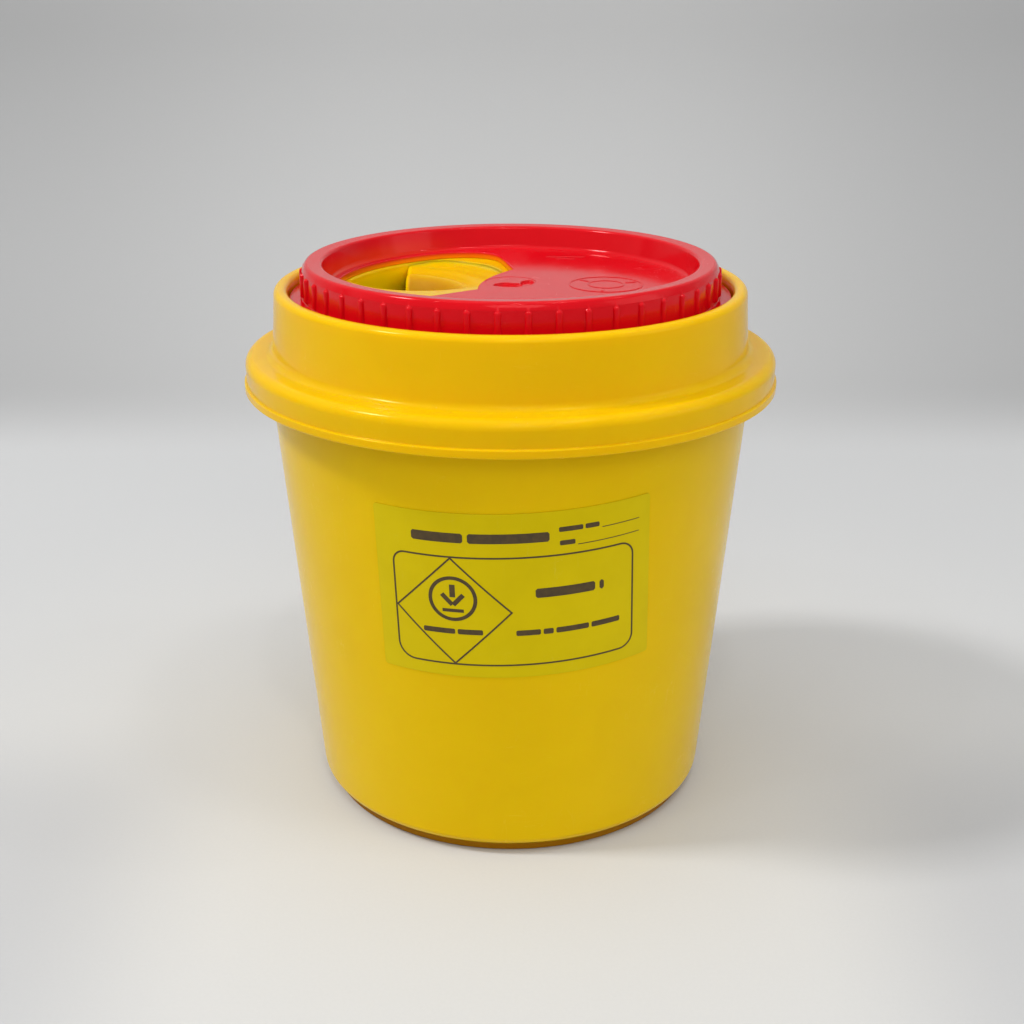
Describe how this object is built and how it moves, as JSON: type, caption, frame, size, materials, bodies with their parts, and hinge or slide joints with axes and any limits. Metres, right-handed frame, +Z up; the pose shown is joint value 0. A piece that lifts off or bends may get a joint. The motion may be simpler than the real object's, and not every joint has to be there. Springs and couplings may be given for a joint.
{
  "type": "sharps container",
  "caption": "Round tapered sharps container with a press-on lid, a raised collar and a rotary closure dial that opens and shuts a drop chute.",
  "frame": {"origin": "centre of the base, on the surface the container stands on", "axes": "+Z up through the lid; -Y towards the label on the front; +X to the right seen from the front"},
  "size_m": [0.19, 0.19, 0.198],
  "materials": {
    "tub_plastic": "semi-gloss moulded polypropylene, yellow",
    "lid_plastic": "gloss moulded polypropylene, yellow",
    "dial_plastic": "gloss moulded polypropylene, red",
    "label_film": "printed film label, dull yellow"
  },
  "bodies": {
    "tub": {"container_body": "tub_plastic", "label": "label_film"},
    "lid": {"lid": "lid_plastic", "pivot_pin": "dial_plastic"},
    "dial": {"closure_dial": "dial_plastic"}
  },
  "joints": [
    {"name": "lid_lift", "type": "slide", "parent": "tub", "child": "lid", "axis": [0, 0, 1], "range_m": [0, 0.06]},
    {"name": "dial_turn", "type": "hinge", "parent": "lid", "child": "dial", "pos_m": [0, 0, 0.188], "axis": [0, 0, -1], "range_deg": [0, 180]}
  ]
}
